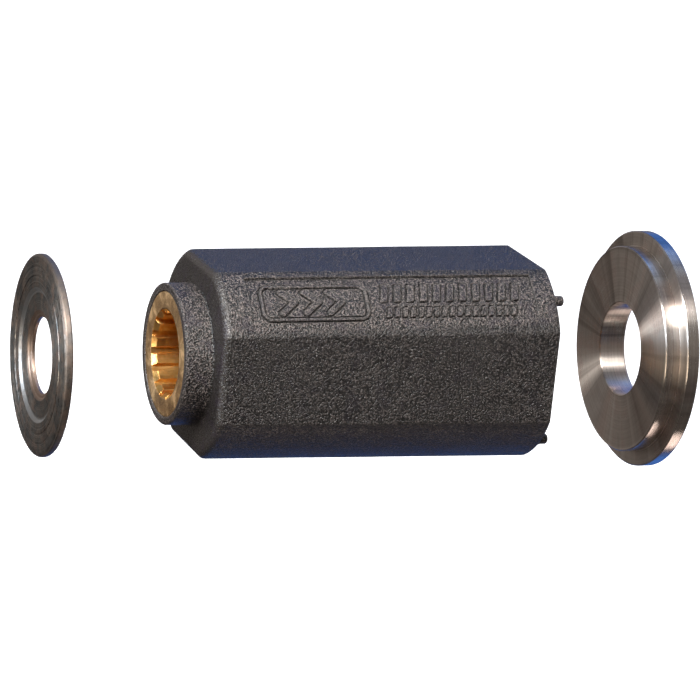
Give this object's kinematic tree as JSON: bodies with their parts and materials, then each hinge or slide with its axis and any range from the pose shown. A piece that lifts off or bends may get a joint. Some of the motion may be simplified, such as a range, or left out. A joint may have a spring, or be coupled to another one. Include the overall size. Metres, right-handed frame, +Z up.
{
  "type": "propeller hub kit",
  "caption": "Moulded drive sleeve with a splined brass insert, between a stepped aft washer and a flanged thrust washer, in a row on one shaft axis.",
  "frame": {"origin": "on the shaft axis, at the aft seating face of the sleeve's nose", "axes": "+X along the shaft from the aft washer to the thrust washer; +Z up, square to a drive flat of the sleeve"},
  "size_m": [0.1743, 0.0648, 0.0648],
  "materials": {
    "sleeve_polymer": "moulded glass-filled polymer, fine grain",
    "insert_brass": "broached and faced",
    "turned_steel": "fine turned",
    "pressed_steel": "pressed, dull"
  },
  "bodies": {
    "hub": {"drive_sleeve": "sleeve_polymer", "spline_insert": "insert_brass"},
    "thrust_washer": {"thrust_washer": "turned_steel"},
    "aft_washer": {"aft_washer": "pressed_steel"}
  },
  "joints": [
    {"name": "aft_washer_slide", "type": "slide", "parent": "hub", "child": "aft_washer", "axis": [1, 0, 0], "range_m": [0, 0.0317]},
    {"name": "thrust_washer_slide", "type": "slide", "parent": "hub", "child": "thrust_washer", "axis": [-1, 0, 0], "range_m": [0, 0.0282]}
  ]
}
